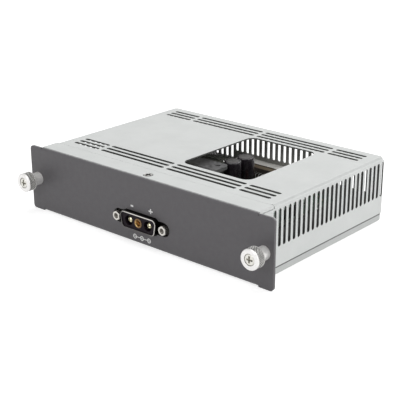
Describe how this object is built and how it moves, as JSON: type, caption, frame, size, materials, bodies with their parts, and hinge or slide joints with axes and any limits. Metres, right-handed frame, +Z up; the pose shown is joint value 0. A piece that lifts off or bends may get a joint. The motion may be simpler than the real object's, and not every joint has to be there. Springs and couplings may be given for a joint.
{
  "type": "dc power supply module",
  "caption": "Rack-style dc power supply in a folded sheet-metal case with vent slots, an open top window, a dark front panel, a D-shaped power inlet and captive thumbscrews.",
  "frame": {"origin": "centre of the bounding box's bottom face, on the surface that the case stands on", "axes": "+X along the front panel, towards the plus contact's side; +Y from the front panel to the rear wall; +Z up"},
  "size_m": [0.1742, 0.125, 0.038],
  "materials": {
    "panel_paint": "satin dark grey paint on folded steel",
    "zinc_sheet": "zinc-plated sheet steel",
    "bright_steel": "nickel-plated turned steel",
    "screw_steel": "zinc-plated screws",
    "spring_steel": "spring steel",
    "inlet_metal": "dark plated shell with a bright rim",
    "black_plastic": "black moulded insulator",
    "gold_contact": "gold-plated contacts",
    "board_green": "green solder mask on glass-fibre board",
    "capacitor_sleeve": "black heat-shrunk sleeve",
    "film_box": "moulded film capacitor case",
    "black_aluminium": "black anodised aluminium",
    "package_black": "moulded power package",
    "ferrite": "dark grey ferrite",
    "bobbin_plastic": "black bobbin",
    "winding": "enamelled copper winding",
    "tape": "dark insulating tape over the winding",
    "chip_black": "moulded chip packages",
    "fuse_glass": "clear glass",
    "clip_metal": "tinned brass",
    "connector_cream": "cream nylon"
  },
  "bodies": {
    "case": {"front_panel": "panel_paint", "cover": "zinc_sheet", "base_tray": "zinc_sheet", "top_screw": "screw_steel", "top_press_nut": "screw_steel", "bottom_screws": "screw_steel", "bottom_press_nuts": "screw_steel", "rear_screws": "screw_steel", "rear_press_nuts": "screw_steel", "inlet_shell": "inlet_metal", "inlet_insulator": "black_plastic", "inlet_contacts": "gold_contact", "inlet_brackets": "bright_steel", "jackscrews": "bright_steel", "circuit_board": "board_green", "board_standoffs": "bright_steel", "board_screws": "screw_steel", "window_capacitors": "capacitor_sleeve", "bulk_capacitors": "capacitor_sleeve", "filter_capacitors": "capacitor_sleeve", "film_capacitor": "film_box", "transistor_heatsink": "black_aluminium", "side_heatsink": "black_aluminium", "transistors": "package_black", "transistor_screws": "screw_steel", "transformer_core": "ferrite", "transformer_bobbin": "bobbin_plastic", "transformer_winding": "tape", "choke_core": "ferrite", "choke_winding": "winding", "control_board": "board_green", "control_chips": "chip_black", "fuse_tube": "fuse_glass", "fuse_caps": "clip_metal", "fuse_clips": "clip_metal", "output_connector": "connector_cream", "output_pins": "clip_metal", "left_ferrule": "bright_steel", "left_thumb_spring": "spring_steel", "right_ferrule": "bright_steel", "right_thumb_spring": "spring_steel"},
    "left_plunger": {"left_thumb_washer": "screw_steel"},
    "left_thumbscrew": {"left_knob": "bright_steel", "left_thumb_screw": "bright_steel"},
    "right_plunger": {"right_thumb_washer": "screw_steel"},
    "right_thumbscrew": {"right_knob": "bright_steel", "right_thumb_screw": "bright_steel"}
  },
  "joints": [
    {"name": "left_press", "type": "slide", "parent": "case", "child": "left_plunger", "axis": [0, 1, 0], "range_m": [0, 0.0034], "stiffness_N_per_m": 250, "springref_m": -0.004, "deforming": ["left_thumb_spring"]},
    {"name": "left_turn", "type": "hinge", "parent": "left_plunger", "child": "left_thumbscrew", "pos_m": [-0.0813, -0.0591, 0.0188], "axis": [0, 1, 0], "continuous": true},
    {"name": "right_press", "type": "slide", "parent": "case", "child": "right_plunger", "axis": [0, 1, 0], "range_m": [0, 0.0034], "stiffness_N_per_m": 250, "springref_m": -0.004, "deforming": ["right_thumb_spring"]},
    {"name": "right_turn", "type": "hinge", "parent": "right_plunger", "child": "right_thumbscrew", "pos_m": [0.0813, -0.0591, 0.0188], "axis": [0, 1, 0], "continuous": true}
  ]
}
